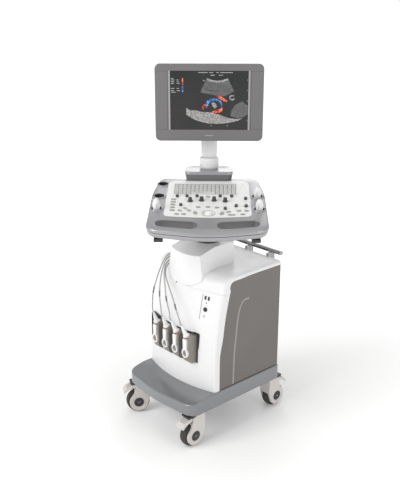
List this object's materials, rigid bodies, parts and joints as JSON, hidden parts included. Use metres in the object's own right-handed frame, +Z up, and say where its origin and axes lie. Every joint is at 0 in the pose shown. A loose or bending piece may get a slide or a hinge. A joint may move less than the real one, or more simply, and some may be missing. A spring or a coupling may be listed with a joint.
{
  "type": "cart ultrasound machine",
  "caption": "Wheeled ultrasound machine: castor base, body with probe plugs, swivelling control console with trackball and keys, probes in cups and a tilting flat monitor.",
  "frame": {"origin": "centre of the footprint of the whole machine at rest, on the floor", "axes": "+Z up; the cart body faces -Y and its right side, seen from the front, is +X; the console is stored turned 46.7 degrees about +Z"},
  "size_m": [0.6142, 0.6126, 1.4015],
  "materials": {
    "white_plastic": "satin moulded white",
    "console_grey": "satin metallic grey paint on plastic",
    "side_grey": "fine textured warm grey",
    "base_grey": "glossy grey",
    "bezel_grey": "fine textured grey",
    "dark_plastic": "matt black",
    "screen_glass": "smooth dark display film",
    "plug_taupe": "fine textured taupe",
    "castor_white": "satin warm white",
    "tyre_rubber": "matt dark rubber",
    "steel": "folded sheet",
    "key_grey": "satin grey keys",
    "lead_grey": "smooth grey cable sheath"
  },
  "bodies": {
    "cart": {"base_cover": "base_grey", "chassis_frame": "steel", "front_cover": "white_plastic", "top_cover": "white_plastic", "side_cover_left": "side_grey", "side_cover_right": "side_grey", "rear_cover": "side_grey", "neck_cover": "white_plastic", "power_supply": "steel", "board_cage": "steel", "connector_panel": "dark_plastic", "probe_plug_1": "plug_taupe", "probe_plug_2": "plug_taupe", "probe_plug_3": "plug_taupe", "probe_plug_4": "plug_taupe", "probe_lead_1": "lead_grey", "probe_lead_2": "lead_grey", "probe_lead_3": "lead_grey", "probe_lead_4": "lead_grey", "rear_handle": "console_grey", "mains_inlet": "dark_plastic"},
    "castor_front_left": {"castor_fork_front_left": "castor_white"},
    "wheel_front_left": {"castor_wheel_front_left": "tyre_rubber"},
    "pedal_front_left": {"brake_pedal_front_left": "castor_white"},
    "castor_front_right": {"castor_fork_front_right": "castor_white"},
    "wheel_front_right": {"castor_wheel_front_right": "tyre_rubber"},
    "pedal_front_right": {"brake_pedal_front_right": "castor_white"},
    "castor_rear_left": {"castor_fork_rear_left": "castor_white"},
    "wheel_rear_left": {"castor_wheel_rear_left": "tyre_rubber"},
    "pedal_rear_left": {"brake_pedal_rear_left": "castor_white"},
    "castor_rear_right": {"castor_fork_rear_right": "castor_white"},
    "wheel_rear_right": {"castor_wheel_rear_right": "tyre_rubber"},
    "pedal_rear_right": {"brake_pedal_rear_right": "castor_white"},
    "lever_1": {"lock_lever_1": "white_plastic"},
    "lever_2": {"lock_lever_2": "white_plastic"},
    "lever_3": {"lock_lever_3": "white_plastic"},
    "lever_4": {"lock_lever_4": "white_plastic"},
    "rocker": {"power_switch": "tyre_rubber"},
    "fan": {"cooling_fan": "dark_plastic"},
    "console": {"swivel_column": "console_grey", "console_top_shell": "console_grey", "console_bottom_shell": "console_grey", "control_panel": "white_plastic", "monitor_platform": "bezel_grey", "cable_hook_left": "dark_plastic", "cable_hook_right": "dark_plastic"},
    "keyboard": {"keyboard_keys": "white_plastic"},
    "key_mat": {"function_keys": "key_grey"},
    "ball": {"trackball": "white_plastic"},
    "knob_1": {"menu_knob_1": "dark_plastic"},
    "knob_2": {"menu_knob_2": "dark_plastic"},
    "knob_3": {"menu_knob_3": "dark_plastic"},
    "knob_4": {"menu_knob_4": "dark_plastic"},
    "probe_left_body": {"probe_left": "white_plastic"},
    "probe_right_rear_body": {"probe_right_rear": "white_plastic"},
    "probe_right_front_body": {"probe_right_front": "white_plastic"},
    "column": {"monitor_column": "white_plastic"},
    "monitor": {"monitor_bezel": "bezel_grey", "monitor_rear_cover": "bezel_grey", "lcd_panel": "screen_glass"}
  },
  "joints": [
    {"name": "castor_swivel_front_left", "type": "hinge", "parent": "cart", "child": "castor_front_left", "pos_m": [-0.1859, -0.195, 0.137], "axis": [0, 0, 1], "continuous": true},
    {"name": "wheel_roll_front_left", "type": "hinge", "parent": "castor_front_left", "child": "wheel_front_left", "pos_m": [-0.19717, -0.21619, 0.049], "axis": [0.8829, -0.4695, 0], "continuous": true},
    {"name": "brake_press_front_left", "type": "hinge", "parent": "castor_front_left", "child": "pedal_front_left", "pos_m": [-0.19811, -0.21796, 0.119], "axis": [0.8829, -0.4695, 0], "range_deg": [0, 18]},
    {"name": "castor_swivel_front_right", "type": "hinge", "parent": "cart", "child": "castor_front_right", "pos_m": [0.1441, -0.195, 0.137], "axis": [0, 0, 1], "continuous": true},
    {"name": "wheel_roll_front_right", "type": "hinge", "parent": "castor_front_right", "child": "wheel_front_right", "pos_m": [0.1441, -0.219, 0.049], "axis": [1, 0, 0], "continuous": true},
    {"name": "brake_press_front_right", "type": "hinge", "parent": "castor_front_right", "child": "pedal_front_right", "pos_m": [0.1441, -0.221, 0.119], "axis": [1, 0, 0], "range_deg": [0, 18]},
    {"name": "castor_swivel_rear_left", "type": "hinge", "parent": "cart", "child": "castor_rear_left", "pos_m": [-0.1859, 0.215, 0.137], "axis": [0, 0, 1], "continuous": true},
    {"name": "wheel_roll_rear_left", "type": "hinge", "parent": "castor_rear_left", "child": "wheel_rear_left", "pos_m": [-0.1859, 0.239, 0.049], "axis": [-1, 0, 0], "continuous": true},
    {"name": "brake_press_rear_left", "type": "hinge", "parent": "castor_rear_left", "child": "pedal_rear_left", "pos_m": [-0.1859, 0.241, 0.119], "axis": [-1, 0, 0], "range_deg": [0, 18]},
    {"name": "castor_swivel_rear_right", "type": "hinge", "parent": "cart", "child": "castor_rear_right", "pos_m": [0.1441, 0.215, 0.137], "axis": [0, 0, 1], "continuous": true},
    {"name": "wheel_roll_rear_right", "type": "hinge", "parent": "castor_rear_right", "child": "wheel_rear_right", "pos_m": [0.1441, 0.239, 0.049], "axis": [-1, 0, 0], "continuous": true},
    {"name": "brake_press_rear_right", "type": "hinge", "parent": "castor_rear_right", "child": "pedal_rear_right", "pos_m": [0.1441, 0.241, 0.119], "axis": [-1, 0, 0], "range_deg": [0, 18]},
    {"name": "lever_turn_1", "type": "hinge", "parent": "cart", "child": "lever_1", "pos_m": [-0.1074, -0.1833, 0.387], "axis": [0, -1, 0], "range_deg": [0, 60]},
    {"name": "lever_turn_2", "type": "hinge", "parent": "cart", "child": "lever_2", "pos_m": [-0.0464, -0.1833, 0.387], "axis": [0, -1, 0], "range_deg": [0, 60]},
    {"name": "lever_turn_3", "type": "hinge", "parent": "cart", "child": "lever_3", "pos_m": [0.0136, -0.1833, 0.387], "axis": [0, -1, 0], "range_deg": [0, 60]},
    {"name": "lever_turn_4", "type": "hinge", "parent": "cart", "child": "lever_4", "pos_m": [0.0736, -0.1833, 0.387], "axis": [0, -1, 0], "range_deg": [0, 60]},
    {"name": "power_rocker", "type": "hinge", "parent": "cart", "child": "rocker", "pos_m": [0.1091, 0.2265, 0.266], "axis": [-1, 0, 0], "range_deg": [0, 10]},
    {"name": "fan_spin", "type": "hinge", "parent": "cart", "child": "fan", "pos_m": [0.0641, 0.21, 0.47], "axis": [0, 1, 0], "continuous": true},
    {"name": "console_swivel", "type": "hinge", "parent": "cart", "child": "console", "pos_m": [-0.0209, 0.017, 0.746], "axis": [0, 0, 1], "range_deg": [-96.66, 3.34]},
    {"name": "keyboard_press", "type": "slide", "parent": "console", "child": "keyboard", "axis": [-0.1208, 0.114, -0.9861], "range_m": [0, 0.0012], "stiffness_N_per_m": 900, "springref_m": -0.0015},
    {"name": "button_press", "type": "slide", "parent": "console", "child": "key_mat", "axis": [-0.1208, 0.114, -0.9861], "range_m": [0, 0.0015], "stiffness_N_per_m": 1500, "springref_m": -0.0015},
    {"name": "trackball_roll", "type": "hinge", "parent": "console", "child": "ball", "pos_m": [0.0815, -0.07551, 0.88417], "axis": [0.6863, 0.7273, 0], "continuous": true},
    {"name": "knob_turn_1", "type": "hinge", "parent": "console", "child": "knob_1", "pos_m": [-0.04071, -0.05781, 0.91052], "axis": [0.1208, -0.114, 0.9861], "continuous": true},
    {"name": "knob_turn_2", "type": "hinge", "parent": "console", "child": "knob_2", "pos_m": [-0.01622, -0.02179, 0.91168], "axis": [0.1208, -0.114, 0.9861], "continuous": true},
    {"name": "knob_turn_3", "type": "hinge", "parent": "console", "child": "knob_3", "pos_m": [0.01673, 0.01312, 0.91168], "axis": [0.1208, -0.114, 0.9861], "continuous": true},
    {"name": "knob_turn_4", "type": "hinge", "parent": "console", "child": "knob_4", "pos_m": [0.05057, 0.03892, 0.91052], "axis": [0.1208, -0.114, 0.9861], "continuous": true},
    {"name": "probe_left_lift", "type": "slide", "parent": "console", "child": "probe_left_body", "axis": [0.1208, -0.114, 0.9861], "range_m": [0, 0.12]},
    {"name": "probe_right_rear_lift", "type": "slide", "parent": "console", "child": "probe_right_rear_body", "axis": [0.1208, -0.114, 0.9861], "range_m": [0, 0.12]},
    {"name": "probe_right_front_lift", "type": "slide", "parent": "console", "child": "probe_right_front_body", "axis": [0.1208, -0.114, 0.9861], "range_m": [0, 0.12]},
    {"name": "monitor_pan", "type": "hinge", "parent": "console", "child": "column", "pos_m": [-0.19872, 0.18481, 0.976], "axis": [0, 0, 1], "range_deg": [-45, 45]},
    {"name": "monitor_tilt", "type": "hinge", "parent": "column", "child": "monitor", "pos_m": [-0.19872, 0.18481, 1.214], "axis": [-0.6863, -0.7273, 0], "range_deg": [-5, 20]}
  ]
}
